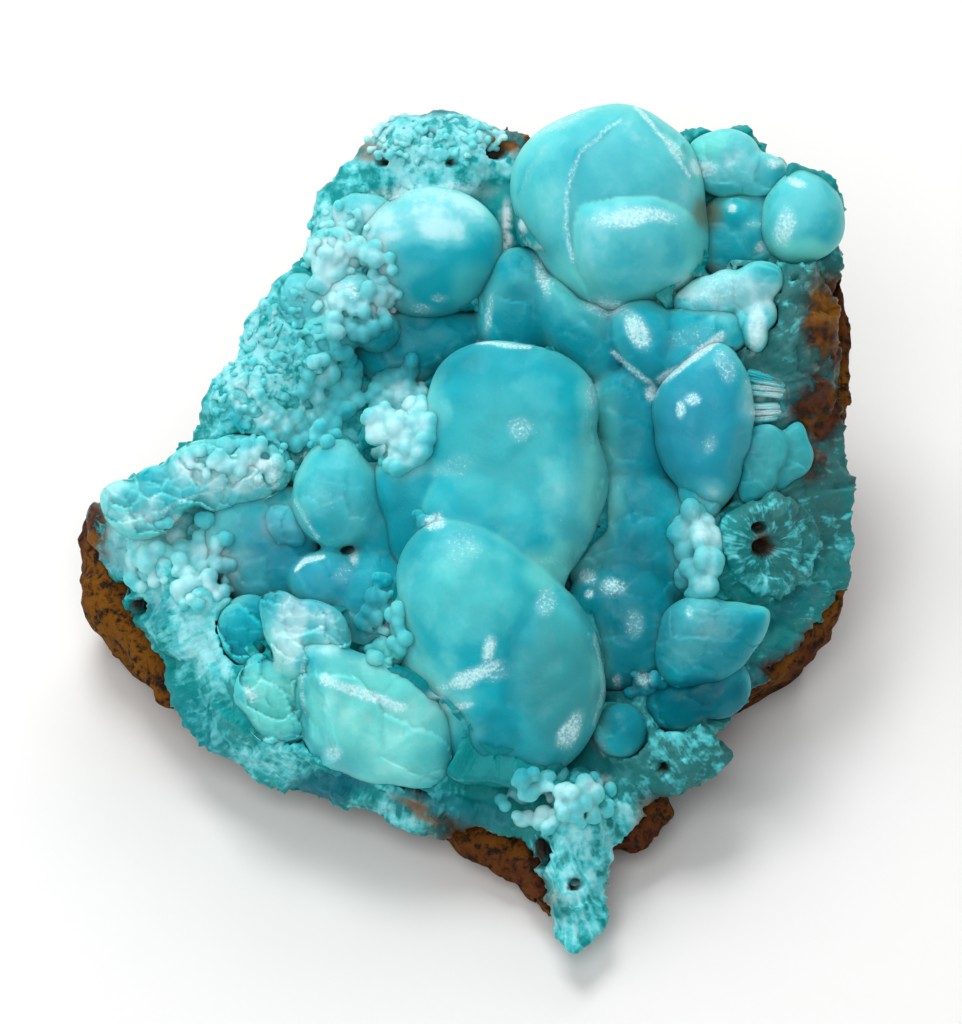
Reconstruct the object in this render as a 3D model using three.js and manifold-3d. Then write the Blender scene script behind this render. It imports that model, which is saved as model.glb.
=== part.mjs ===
// A hand-sized smithsonite specimen: a blue-green crust of rounded lobes that grew in a hollow of brown
// limonite rock. It lies on the flat underside of the rock, and its display side slopes towards -Y.
// Millimetres, +Z up. The origin is on the table, under the middle of the specimen.
import * as THREE from "three";
import { LoftGeometry } from "three/addons/geometries/LoftGeometry.js";
import { ImprovedNoise } from "three/addons/math/ImprovedNoise.js";
import { mergeVertices } from "three/addons/utils/BufferGeometryUtils.js";
import Module from "manifold-3d";

const wasm = await Module();
wasm.setup();

// Driving dimensions
const SPECIMEN_WIDTH = 80; // from the left tip to the right edge
const FRONT_HEIGHT = 6; // of the display side over the table, at the front tip
const BACK_HEIGHT = 44; // of the display side over the table, at the back edge
const ROCK_MIDDLE = new THREE.Vector3(0, -7, 0); // the point on the table that the rock tapers towards
const FOOT_SHARE = 0.88; // size of the foot against the rock's widest outline
const HOLLOW_DEPTH = 6; // how far the lined hollow sinks below the display side
const BED_HEIGHT = 9; // of the rock's upper surface at the middle of the hollow
const BED_GAP = 0.3; // between the rock and the crust
const ROUGHNESS = 1.6; // how far the broken surfaces wander
const ROUGH_LENGTH = 8; // between two lumps of a broken surface

// Facets
const SEGMENTS = 52; // around the rock
const FACET = 2.6; // aimed length of the edges of a lobe

// The photograph looks along +Y and down. A place is a pixel of it with a height over the table.
const PHOTO_SPAN = 785; // pixels from the left tip to the right edge
const PHOTO_ORIGIN = [467, 669]; // the pixel that shows the origin
const PHOTO_FRONT = 950; // the pixel row of the front tip
const PHOTO_BACK = 103; // the pixel row of the back edge
const CAMERA_ELEVATION = THREE.MathUtils.degToRad(50);
const MM_PER_PIXEL = SPECIMEN_WIDTH / PHOTO_SPAN;

// The broken edge all round, counter-clockwise from the left tip as seen from above. Each station has
// the widest point of the rock and the edge of the display side, both as pixel and height, and the
// height at which the rock ends and the crust begins.
const RIM = [
  { skirt: [76, 512, 14], brow: [135, 500, 20], bed: 15 },
  { skirt: [82, 585, 11], brow: [150, 570, 19], bed: 14 },
  { skirt: [130, 655, 8], brow: [215, 640, 17], bed: 11.5 },
  { skirt: [205, 757, 7], brow: [250, 715, 15], bed: 6 },
  { skirt: [300, 790, 6], brow: [330, 765, 13], bed: 5 },
  { skirt: [425, 838, 5], brow: [440, 790, 11], bed: 5.5 },
  { skirt: [520, 880, 4], brow: [520, 810, 9], bed: 6.5 },
  { skirt: [570, 951, 4], brow: [570, 850, 8.5], bed: 3 },
  { skirt: [628, 890, 4], brow: [600, 810, 9], bed: 5 },
  { skirt: [683, 805, 6], brow: [640, 760, 11.5], bed: 8 },
  { skirt: [752, 712, 7], brow: [680, 715, 14], bed: 8.5 },
  { skirt: [852, 622, 9], brow: [690, 650, 18], bed: 12 },
  { skirt: [856, 575, 14], brow: [705, 560, 22], bed: 13.5 },
  { skirt: [853, 470, 21], brow: [770, 480, 25], bed: 20 },
  { skirt: [850, 370, 26], brow: [765, 370, 30], bed: 27 },
  { skirt: [850, 275, 30], brow: [775, 275, 34], bed: 31 },
  { skirt: [838, 200, 35], brow: [790, 230, 35], bed: 29 },
  { skirt: [742, 130, 39], brow: [730, 170, 38], bed: 33 },
  { skirt: [640, 125, 40], brow: [640, 160, 39], bed: 37 },
  { skirt: [530, 125, 40], brow: [530, 165, 39], bed: 40 },
  { skirt: [435, 106, 40], brow: [440, 160, 38.5], bed: 39 },
  { skirt: [348, 150, 38], brow: [375, 185, 38], bed: 38 },
  { skirt: [318, 235, 35], brow: [345, 250, 36], bed: 31 },
  { skirt: [262, 300, 32], brow: [290, 315, 33], bed: 27 },
  { skirt: [207, 405, 27], brow: [235, 410, 29], bed: 22 },
  { skirt: [178, 450, 22], brow: [205, 470, 25], bed: 17 },
];

// The rounded lobes. Each has the pixel of its middle, how far that middle rises over the display
// side, and its radii across, up and out of the photograph.
const LOBES = {
  crown_core: { at: [622, 208], rise: -1.2, radii: [8.6, 10.3, 8] },
  crown_bulge: { at: [645, 258], rise: 0, radii: [6.7, 6, 5] },
  left_dome: { at: [428, 252], rise: -2.2, radii: [7.6, 6.8, 5.5] },
  heart_top: { at: [515, 425], rise: 0, radii: [8.7, 8.6, 6.8] },
  heart_right: { at: [535, 500], rise: 0.5, radii: [7.5, 8.2, 6.5] },
  heart_left: { at: [470, 480], rise: -0.8, radii: [5.5, 7, 5.5] },
  belly_top: { at: [465, 600], rise: 0.5, radii: [7.5, 7.5, 6.5] },
  belly_right: { at: [545, 665], rise: -0.5, radii: [6, 8.5, 6] },
  belly_low: { at: [505, 715], rise: -0.5, radii: [8, 7.8, 6.5] },
  saddle_left: { at: [505, 305], rise: -5, radii: [4.5, 5, 4.5] },
  saddle_right: { at: [575, 345], rise: -4, radii: [4.8, 6, 5] },
  saddle_floor: { at: [425, 335], rise: -6, radii: [5.5, 3.5, 4] },
  nape: { at: [632, 345], rise: -2.5, radii: [3.6, 4, 4] },
  teardrop: { at: [705, 415], rise: -1, radii: [5, 8.5, 5] },
  teardrop_top: { at: [690, 350], rise: -2, radii: [4.2, 3.5, 4] },
  corner_ball: { at: [800, 208], rise: -2.5, radii: [4.7, 4.6, 4.6] },
  corner_bubble: { at: [735, 212], rise: -2.5, radii: [1.8, 1.8, 1.8] },
  valley_top: { at: [640, 480], rise: -6, radii: [5, 9, 5] },
  valley_low: { at: [635, 600], rise: -5.5, radii: [5, 7, 5] },
  pocket_ball: { at: [615, 728], rise: -4, radii: [3.2, 3.2, 3.2] },
  pocket_floor: { at: [690, 690], rise: -5, radii: [5, 2.5, 3] },
  cheek: { at: [335, 490], rise: -3, radii: [4.2, 5.8, 5] },
  cheek_low: { at: [325, 582], rise: -5, radii: [3.8, 3.2, 3.6] },
  cave_floor: { at: [262, 545], rise: -6, radii: [5, 4.5, 4] },
  cave_wall: { at: [205, 620], rise: -6, radii: [6, 5, 4] },
  arm_left: { at: [215, 480], rise: -4, radii: [5, 3.2, 3.5] },
  arm_right: { at: [262, 470], rise: -4, radii: [4, 3.3, 3.5] },
  shard_left: { at: [275, 690], rise: -3, radii: [4.8, 6, 4.5] },
  shard_top: { at: [325, 640], rise: -2.5, radii: [4.5, 4, 4] },
  sill: { at: [420, 775], rise: -4.5, radii: [10, 4, 3.5] },
  spur: { at: [580, 840], rise: -4, radii: [3.6, 8, 3.4] },
  spur_right: { at: [665, 755], rise: -4.5, radii: [6.5, 4, 3.5] },
  ledge_low: { at: [690, 640], rise: -2.5, radii: [4.2, 3.5, 3.5] },
  ledge_left: { at: [700, 290], rise: -1, radii: [3.5, 2, 2.5] },
  ledge_right: { at: [745, 275], rise: -1, radii: [3, 2, 2.5] },
  ledge_down: { at: [748, 335], rise: -1.5, radii: [1.8, 5, 2] },
  wall_right: { at: [790, 350], rise: -4, radii: [5.5, 11, 4.5] },
  slope_low: { at: [255, 405], rise: -3.5, radii: [5.5, 6, 4] },
  slope_top: { at: [305, 335], rise: -3, radii: [6, 7, 4] },
  brow_left: { at: [350, 235], rise: -3.5, radii: [4.5, 6.5, 4] },
  brow_back: { at: [435, 160], rise: -4.2, radii: [9, 5.5, 4.5] },
};

// Two lobes are broken shells. A break is a flat face through a pixel, facing a direction that is given
// across, up and out of the photograph, and what lies beyond it is gone.
const BROKEN_LOBES = {
  crown_shell: {
    at: [610, 205], rise: -1.5, radii: [9.9, 10.9, 9.6],
    breaks: [{ at: [572, 210], rise: 5, facing: [1, 0.1, 0.25] }],
  },
  pale_shell: {
    at: [375, 718], rise: -1, radii: [7.8, 6.2, 6],
    breaks: [{ at: [308, 690], rise: 0, facing: [-1, -0.35, 0.2] }],
  },
};

// Patches of small balls, each with the pixel of its middle, how far that rises over the display side,
// its half sizes across and up, the number of balls and their radius.
const DRUSE = [
  { at: [187, 555], rise: -3.2, half: [5, 5], balls: 13, radius: 1.3 },
  { at: [325, 395], rise: -1, half: [3.2, 4.5], balls: 9, radius: 1.4 },
  { at: [360, 292], rise: -1.5, half: [4, 4.5], balls: 8, radius: 1.5 },
  { at: [400, 420], rise: -0.5, half: [3.4, 4.5], balls: 11, radius: 1.3 },
  { at: [555, 795], rise: -1.5, half: [5, 2], balls: 9, radius: 1.3 },
  { at: [702, 560], rise: -2.5, half: [1.6, 4.5], balls: 7, radius: 1.3 },
  { at: [385, 625], rise: -2.5, half: [2.2, 3.5], balls: 5, radius: 1.3 },
];
const DRUSE_CROWN = 1.5; // how far the middle of a patch stands over its edge
const GOLDEN_ANGLE = Math.PI * (3 - Math.sqrt(5));

// A stalactite that broke off with the right edge, so that its round section shows.
const STUB = { at: [762, 542], rise: -5, radius: 4.9, length: 8, facing: [0.35, -0.15, 1], sides: 16 };

// Glassy cleavage plates at the back edge.
const PLATES = [
  { at: [730, 152], rise: -4.5, size: [5.6, 4.4, 3], turn: 0.3 },
  { at: [772, 170], rise: -5, size: [3.6, 3, 3], turn: -0.5 },
];

const noise = new ImprovedNoise();

// The height of the display side at a row of the photograph.
function displayHeight(row) {
  return THREE.MathUtils.mapLinear(row, PHOTO_FRONT, PHOTO_BACK, FRONT_HEIGHT, BACK_HEIGHT);
}

// The point that a pixel shows at a height over the table.
function place(px, py, height) {
  const up = (PHOTO_ORIGIN[1] - py) * MM_PER_PIXEL;
  return new THREE.Vector3(
    (px - PHOTO_ORIGIN[0]) * MM_PER_PIXEL,
    (up - height * Math.cos(CAMERA_ELEVATION)) / Math.sin(CAMERA_ELEVATION),
    height,
  );
}

// The point that a pixel shows at a rise over the display side.
function placeOnDisplay([px, py], rise) {
  return place(px, py, displayHeight(py) + rise);
}

// Turns a shape or a direction from across, up and out of the photograph to the specimen's frame.
const PHOTO_TURN = new THREE.Matrix4().makeRotationX(Math.PI / 2 - CAMERA_ELEVATION);

function facingVector(facing) {
  return new THREE.Vector3(...facing).applyMatrix4(PHOTO_TURN).normalize();
}

// A closed geometry as a solid: shared vertices merged, and triangles with no area dropped.
function toSolid(geometry) {
  const bare = new THREE.BufferGeometry().setIndex(geometry.index);
  bare.setAttribute("position", geometry.getAttribute("position"));
  const merged = mergeVertices(bare);
  const corners = merged.index.array;
  const triangles = [];
  for (let i = 0; i < corners.length; i += 3) {
    const [a, b, c] = corners.slice(i, i + 3);
    if (a !== b && b !== c && c !== a) triangles.push(a, b, c);
  }
  return new wasm.Manifold(
    new wasm.Mesh({
      numProp: 3,
      vertProperties: merged.getAttribute("position").array,
      triVerts: new Uint32Array(triangles),
    }),
  );
}

function toGeometry(solid) {
  const { vertProperties, triVerts } = solid.getMesh();
  const geometry = new THREE.BufferGeometry().setIndex(new THREE.BufferAttribute(triVerts, 1));
  geometry.setAttribute("position", new THREE.BufferAttribute(vertProperties, 3));
  geometry.computeVertexNormals();
  return geometry;
}

// The largest body of a cut, without the crumbs that fall off.
function largestBody(solid) {
  return solid.decompose().reduce((best, body) => (body.volume() > best.volume() ? body : best));
}

// A point of a broken surface, moved by smooth noise.
function roughened(point) {
  const [x, y, z] = point.toArray().map((value) => value / ROUGH_LENGTH);
  const shift = new THREE.Vector3(noise.noise(x, y, z), noise.noise(y, z, x), noise.noise(z, x, y));
  return point.clone().addScaledVector(shift, ROUGHNESS);
}

// A closed ring through one point for each station of the rim.
function ring(stationPoint) {
  const curve = new THREE.CatmullRomCurve3(RIM.map(stationPoint), true);
  return curve.getPoints(SEGMENTS).slice(0, SEGMENTS);
}

function shrunk(point, share, height) {
  return new THREE.Vector3().lerpVectors(ROCK_MIDDLE, point, share).setZ(height);
}

const skirtPoint = ({ skirt }) => place(...skirt);
const browPoint = ({ brow }) => place(...brow);

// The whole broken block before lobes: a flat foot, a wall that leans out to the skirt, a broken edge
// that leans in to the brow, and the hollow.
function blockSolid() {
  const hollowMiddle = placeOnDisplay([500, 520], -HOLLOW_DEPTH);
  const hollowPoint = (share) => (station) => {
    const sink = HOLLOW_DEPTH * Math.sin((share * Math.PI) / 2) * (1 - share);
    const point = browPoint(station).lerp(hollowMiddle, share);
    return point.setZ(point.z - sink);
  };
  const between = (from, to, share) => from.map((point, i) => point.clone().lerp(to[i], share));
  const foot = ring((station) => shrunk(skirtPoint(station), FOOT_SHARE, 0));
  const skirt = ring(skirtPoint);
  const brow = ring(browPoint);
  const wall = [0.25, 0.5, 0.75].map((share) => between(foot, skirt, share));
  const broken = [...wall, skirt, between(skirt, brow, 0.5), brow];
  const hollow = [0.3, 0.6, 0.9, 1].map((share) => ring(hollowPoint(share)));
  const sections = [foot, ...[...broken, ...hollow].map((points) => points.map(roughened))];
  return toSolid(new LoftGeometry(sections, { capStart: true }));
}

// Everything under the boundary between rock and crust, reaching well outside the block.
function bedSolid(lift) {
  const reach = 1.4;
  const depth = -10;
  const bedPoint = (share) => (station) => {
    const height = THREE.MathUtils.lerp(BED_HEIGHT, station.bed, Math.min(share, 1) ** 2);
    return shrunk(skirtPoint(station), share, height + lift);
  };
  const bottom = ring((station) => shrunk(skirtPoint(station), reach, depth));
  const top = [reach, 1, 0.8, 0.6, 0.3, 0].map((share) => ring(bedPoint(share)));
  return toSolid(new LoftGeometry([bottom, ...top], { capStart: true }));
}

function lobeSolid({ at, rise, radii, breaks = [] }) {
  const facets = Math.round(Math.cbrt(radii[0] * radii[1] * radii[2]) / FACET) - 1;
  const ball = new THREE.IcosahedronGeometry(1, Math.max(facets, 0));
  const geometry = ball.scale(...radii).applyMatrix4(PHOTO_TURN);
  const whole = toSolid(geometry.translate(...placeOnDisplay(at, rise)));
  return breaks.reduce((solid, gap) => {
    const inward = facingVector(gap.facing).negate();
    return solid.trimByPlane(inward.toArray(), inward.dot(placeOnDisplay(gap.at, gap.rise)));
  }, whole);
}

// The balls of a patch, spread evenly by the golden angle and highest in the middle.
function druseSolids({ at, rise, half, balls, radius }) {
  return Array.from({ length: balls }, (_, i) => {
    const out = Math.sqrt((i + 0.5) / balls);
    const angle = i * GOLDEN_ANGLE;
    const pixel = [
      at[0] + (half[0] * out * Math.cos(angle)) / MM_PER_PIXEL,
      at[1] + (half[1] * out * Math.sin(angle)) / MM_PER_PIXEL,
    ];
    const size = radius * (1 + 0.2 * Math.sin(3 * i));
    const ballRise = rise + DRUSE_CROWN * (1 - out * out);
    return lobeSolid({ at: pixel, rise: ballRise, radii: [size, size, size] });
  });
}

function stubSolid({ at, rise, radius, length, facing, sides }) {
  const geometry = new THREE.CylinderGeometry(radius, radius * 1.15, length, sides);
  const turn = new THREE.Quaternion().setFromUnitVectors(new THREE.Vector3(0, 1, 0), facingVector(facing));
  return toSolid(geometry.applyQuaternion(turn).translate(...placeOnDisplay(at, rise)));
}

function plateSolid({ at, rise, size, turn }) {
  const geometry = new THREE.BoxGeometry(...size).rotateZ(turn).rotateY(turn).applyMatrix4(PHOTO_TURN);
  return toSolid(geometry.translate(...placeOnDisplay(at, rise)));
}

const block = blockSolid();
const growths = [
  ...Object.values(LOBES).map(lobeSolid),
  ...Object.values(BROKEN_LOBES).map(lobeSolid),
  ...DRUSE.flatMap(druseSolids),
  ...PLATES.map(plateSolid),
  stubSolid(STUB),
];
const grown = wasm.Manifold.union([block, ...growths]);
const crust = largestBody(grown.subtract(bedSolid(BED_GAP / 2)));
const rock = largestBody(block.intersect(bedSolid(-BED_GAP / 2)));

function part(name, solid, material) {
  const mesh = new THREE.Mesh(toGeometry(solid), new THREE.MeshStandardMaterial(material));
  mesh.name = name;
  return mesh;
}

const specimen = new THREE.Group();
specimen.name = "smithsonite_specimen";
specimen.add(
  part("smithsonite_crust", crust, { color: 0x4fbfc4, roughness: 0.3, metalness: 0 }),
  part("limonite_matrix", rock, { color: 0x7a4f26, roughness: 0.9, metalness: 0 }),
);

export default specimen;
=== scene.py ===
"""A hand-sized smithsonite specimen: waxy blue-green lobes, broken shells and small pearly balls that line
a hollow in crumbly brown limonite. It lies on a pale floor under soft studio light.

Shapes are worked out in millimetres and become metres when a piece is finished. A place on the specimen is
a pixel of the photograph, together with a height over the table or a rise over the sloping display side."""

import math
import random

import bmesh
import bpy
import numpy as np
from mathutils import Matrix, Vector, noise
from mathutils.bvhtree import BVHTree


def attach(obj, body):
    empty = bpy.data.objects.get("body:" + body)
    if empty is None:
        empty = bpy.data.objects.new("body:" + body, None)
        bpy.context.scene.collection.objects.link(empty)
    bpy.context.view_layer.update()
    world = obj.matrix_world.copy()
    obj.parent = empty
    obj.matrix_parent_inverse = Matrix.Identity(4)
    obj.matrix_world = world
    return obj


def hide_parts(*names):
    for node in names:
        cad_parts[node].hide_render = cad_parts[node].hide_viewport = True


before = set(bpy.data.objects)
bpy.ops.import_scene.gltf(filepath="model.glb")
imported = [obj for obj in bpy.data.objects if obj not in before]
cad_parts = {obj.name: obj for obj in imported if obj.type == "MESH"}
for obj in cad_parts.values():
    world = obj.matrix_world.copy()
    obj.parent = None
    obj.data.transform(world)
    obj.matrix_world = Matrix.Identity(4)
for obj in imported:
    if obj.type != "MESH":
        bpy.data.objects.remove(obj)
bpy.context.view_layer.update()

MM = 0.001
random.seed(7)

# How the photograph sees the specimen
PHOTO_SIZE = (962, 1024)
PHOTO_ORIGIN = (467, 669)
PHOTO_FRONT = 950
PHOTO_BACK = 103
PIXEL = 80 / 785
FRONT_HEIGHT = 6
BACK_HEIGHT = 44
ELEVATION = math.radians(50)
RIGHT = Vector((1, 0, 0))
UP = Vector((0, math.sin(ELEVATION), math.cos(ELEVATION)))
OUT = Vector((0, -math.cos(ELEVATION), math.sin(ELEVATION)))
PHOTO_TURN = Matrix((RIGHT, UP, OUT)).transposed()

# Colours, as sRGB bytes
DEEP_TEAL = (0, 112, 128)
TURQUOISE = (14, 172, 188)
SKY = (96, 200, 208)
MILK = (184, 230, 236)
PALE_AQUA = (150, 222, 228)
# The next two colours are painted highlights
HIGHLIGHT_WHITE = (244, 250, 252)
GLINT = (206, 244, 248)
MINT = (124, 226, 214)
AQUA = (84, 200, 206)
SEA_GREEN = (0, 146, 148)
GREY_TEAL = (52, 112, 112)
SLATE = (48, 144, 174)
OLIVE = (106, 104, 62)
OCHRE = (122, 76, 14)
RUST = (88, 46, 22)
UMBER = (34, 26, 20)

# How far light scatters under the surface in millimetres, and how much of it the surface reflects
WAXY_SCATTER = 4.0
MILKY_SCATTER = 1.3
EDGE_SCATTER = 0.6
SHINE = 0.25

# Sizes of the voxels that join masses into one skin, in millimetres
ROCK_VOXEL = 0.6
EDGE_VOXEL = 0.41
HOLLOW_VOXEL = 0.32
MIDDLE_VOXEL = 0.27
MILKY_VOXEL = 0.26
SHELL_VOXEL = 0.24
BALL_VOXEL = 0.195

# How far the broken edge sinks under the lobes, how deep its pits are and how low it may reach
SINK = 2.6
PIT_DEPTH = 1.6
EDGE_FOOT = 1.5


def around(px, py, across, down=None):
    """A round outline."""
    down = down or across
    turns = [math.tau * i / 12 for i in range(12)]
    return [(px + across * math.cos(turn), py + down * math.sin(turn)) for turn in turns]


# Outlines of the smooth lobes, in pixels of the photograph
CROWN = (
    (510, 190), (516, 155), (536, 131), (564, 116), (595, 105), (622, 101), (645, 107), (668, 122),
    (690, 140), (702, 170), (706, 205), (709, 245), (704, 276), (672, 298), (628, 318), (595, 314),
    (560, 290), (540, 259), (522, 228),
)
CROWN_BACK = ((540, 125), (565, 104), (600, 94), (640, 96), (670, 112), (690, 140), (640, 150), (560, 150))
CROWN_STEP = ((622, 116), (578, 152), (568, 186), (566, 228), (572, 262), (590, 300))
CROWN_ARC = ((541, 152), (528, 171), (518, 200), (523, 235), (540, 262), (553, 283))
BULGE = (
    (578, 206), (602, 202), (633, 198), (671, 203), (695, 217), (704, 245), (701, 273), (677, 290),
    (643, 297), (602, 293), (581, 272), (574, 238),
)
LEFT_DOME = (
    (357, 241), (367, 217), (392, 197), (422, 186), (453, 188), (484, 204), (502, 228), (502, 255),
    (491, 283), (471, 303), (440, 316), (405, 314), (378, 293), (361, 266),
)
CORNER_LOBE = (
    (763, 215), (775, 185), (800, 167), (830, 180), (846, 210), (843, 240), (820, 258), (785, 262),
    (767, 245),
)
HEART = (
    (431, 380), (446, 356), (483, 341), (526, 345), (552, 350), (576, 363), (592, 380), (600, 406),
    (594, 430), (602, 453), (609, 479), (604, 506), (599, 526), (586, 549), (572, 570), (556, 586),
    (520, 590), (470, 575), (434, 540), (424, 480), (427, 420),
)
HEART_LOW = ((530, 440), (575, 430), (604, 470), (600, 525), (572, 568), (530, 575), (500, 540), (500, 480))
HEART_EDGE = ((592, 400), (594, 430), (607, 476), (600, 525), (572, 568), (557, 584))
SHOULDER = (
    (430, 520), (400, 552), (396, 585), (408, 620), (420, 655), (436, 692), (470, 716), (510, 706),
    (540, 660), (556, 600), (520, 545), (470, 520),
)
RIGHT_BELLY = (
    (558, 584), (574, 597), (590, 620), (598, 640), (600, 665), (605, 691), (594, 723), (577, 750),
    (545, 768), (512, 745), (503, 690), (508, 640), (525, 603),
)
BELLY = (
    (430, 520), (400, 552), (396, 585), (408, 620), (420, 655), (436, 692), (446, 716), (450, 751),
    (462, 776), (500, 784), (550, 775), (580, 752), (596, 723), (606, 691), (600, 660), (597, 636),
    (588, 618), (574, 597), (557, 582), (520, 550), (470, 520),
)
BRIDGE = ((440, 470), (520, 470), (572, 525), (562, 588), (540, 640), (470, 645), (418, 605), (420, 530))
LEFT_SKIRT = ((388, 450), (420, 400), (450, 400), (475, 480), (455, 570), (410, 585), (380, 530))
LOW_SKIRT = ((392, 600), (430, 580), (470, 660), (480, 740), (450, 765), (428, 715), (404, 660))
BELLY_CREASE = ((558, 584), (532, 602), (512, 640), (506, 690), (516, 740))
BELLY_EDGE = ((590, 620), (599, 650), (605, 691), (592, 725))
TEARDROP = (
    (653, 400), (655, 430), (660, 460), (676, 484), (696, 507), (712, 516), (729, 500), (742, 463),
    (752, 429), (752, 396), (738, 357), (722, 340), (680, 366),
)
EYE = (
    (718, 540), (724, 508), (748, 496), (782, 500), (806, 528), (808, 562), (790, 592), (756, 600),
    (726, 580),
)

# Lobes that line the hollow: outline, rise, depth
HOLLOW_LOBES = (
    (((478, 310), (484, 275), (504, 248), (532, 246), (558, 285), (562, 335), (530, 356),
      (490, 352)), -3.6, 4.4),
    (((543, 268), (580, 296), (614, 318), (622, 356), (604, 380), (572, 370), (548, 340)), -3.0, 4.4),
    (((350, 345), (358, 316), (400, 308), (455, 310), (490, 318), (486, 352), (440, 370), (400, 382),
      (360, 376)), -6.2, 4.2),
    (((612, 312), (640, 298), (668, 308), (676, 345), (656, 384), (632, 372), (616, 350)), -1.8, 4.2),
    (((670, 310), (705, 308), (745, 314), (748, 345), (722, 354), (692, 374), (658, 386),
      (664, 345)), -1.8, 4.0),
    (((590, 386), (622, 368), (658, 384), (666, 440), (668, 490), (640, 520), (606, 500),
      (590, 440)), -4.4, 4.6),
    (((590, 480), (640, 470), (686, 490), (696, 545), (680, 605), (640, 625), (596, 605),
      (566, 575)), -5.0, 5.0),
    (((570, 585), (610, 560), (655, 570), (676, 612), (672, 662), (640, 684), (600, 690),
      (586, 640)), -4.6, 4.6),
    (around(619, 730, 28), -3.4, 3.0),
    (((640, 700), (690, 682), (745, 664), (752, 690), (704, 716), (655, 726)), -5.4, 3.2),
    (((301, 465), (317, 444), (349, 439), (362, 456), (378, 490), (372, 532), (330, 548), (310, 538),
      (293, 492)), -2.0, 4.8),
    (around(325, 580, 37, 29), -3.6, 3.6),
    (((205, 505), (250, 480), (300, 490), (318, 545), (306, 596), (262, 612), (222, 585),
      (200, 545)), -6.2, 4.6),
    (((356, 470), (396, 462), (436, 500), (430, 548), (396, 575), (362, 556), (350, 505)), -4.0, 4.4),
    (((340, 560), (392, 552), (420, 592), (414, 650), (362, 665), (336, 616)), -4.6, 4.4),
    (((696, 215), (740, 190), (778, 196), (786, 250), (748, 276), (708, 270)), -4.6, 3.8),
    (around(738, 210, 16), -2.0, 1.7),
)

# Milky lobes and ledges: outline, rise, depth
MILKY_LOBES = (
    (((670, 300), (684, 288), (712, 275), (738, 271), (756, 260), (782, 266), (784, 286), (764, 304),
      (736, 311), (706, 316), (680, 316)), -0.6, 2.8),
    (((746, 300), (770, 296), (768, 330), (758, 354), (746, 345)), -1.0, 2.4),
    (((655, 640), (665, 610), (690, 596), (724, 602), (752, 606), (770, 606), (768, 624), (752, 650),
      (730, 674), (700, 683), (672, 688), (656, 668)), -2.4, 3.4),
    (((260, 508), (285, 503), (304, 520), (305, 547), (272, 548)), -4.2, 3.2),
    (around(336, 252, 32, 28), -2.2, 3.4), (around(352, 300, 34, 30), -2.4, 3.6),
    (around(328, 338, 30, 24), -2.4, 3.0), (around(376, 330, 24, 22), -2.6, 3.0),
    (around(300, 300, 26, 30), -2.6, 2.8), (around(360, 212, 34, 22), -2.6, 3.0),
    (((690, 142), (714, 129), (743, 129), (762, 150), (790, 163), (782, 186), (742, 192),
      (702, 186)), -2.0, 3.0),
    (((680, 480), (715, 462), (722, 500), (712, 520), (690, 512)), -2.0, 2.6),
    (((752, 428), (772, 424), (786, 436), (778, 470), (758, 500), (742, 505), (744, 470)), -2.6, 2.0, 3.5),
    (((785, 430), (800, 420), (808, 440), (794, 480), (776, 494), (780, 462)), -3.4, 1.8, 3.5),
)
PALE_SHELL = (
    (290, 650), (325, 638), (357, 652), (392, 666), (423, 680), (447, 708), (457, 739), (450, 768),
    (434, 786), (395, 782), (352, 774), (322, 762), (304, 737), (292, 709), (286, 678),
)
BROKEN_SHELLS = (
    (((262, 594), (284, 590), (300, 600), (324, 602), (345, 616), (352, 645), (334, 664), (312, 676),
      (288, 680), (274, 650), (264, 622)), -0.4, 3.2, 3.5),
    (((242, 669), (258, 652), (280, 660), (302, 690), (306, 736), (270, 744), (246, 718)), -2.4, 3.6),
    (((222, 640), (232, 600), (262, 596), (266, 640), (246, 668)), -4.2, 3.0),
    (((150, 505), (178, 450), (215, 440), (250, 436), (288, 450), (292, 480), (262, 500), (235, 508),
      (195, 502), (165, 520)), -2.8, 2.6),
    (((100, 492), (132, 480), (168, 466), (186, 500), (160, 535), (122, 535)), -3.2, 2.6),
)

# Crystal plates: middle, rise, length, width and thickness, turn and lean
PLATES = (
    (765, 376, -1.7, 38, 6, 1.2, -14, 30), (766, 381, -1.7, 40, 6, 1.2, -10, 24),
    (766, 387, -1.8, 40, 6, 1.2, -6, 30), (765, 393, -1.8, 36, 6, 1.2, -3, 24),
    (762, 406, -2.0, 36, 6, 1.2, 0, 26), (762, 412, -2.0, 38, 6, 1.2, 3, 22),
    (761, 418, -2.1, 34, 6, 1.2, 6, 28),
)

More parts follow.
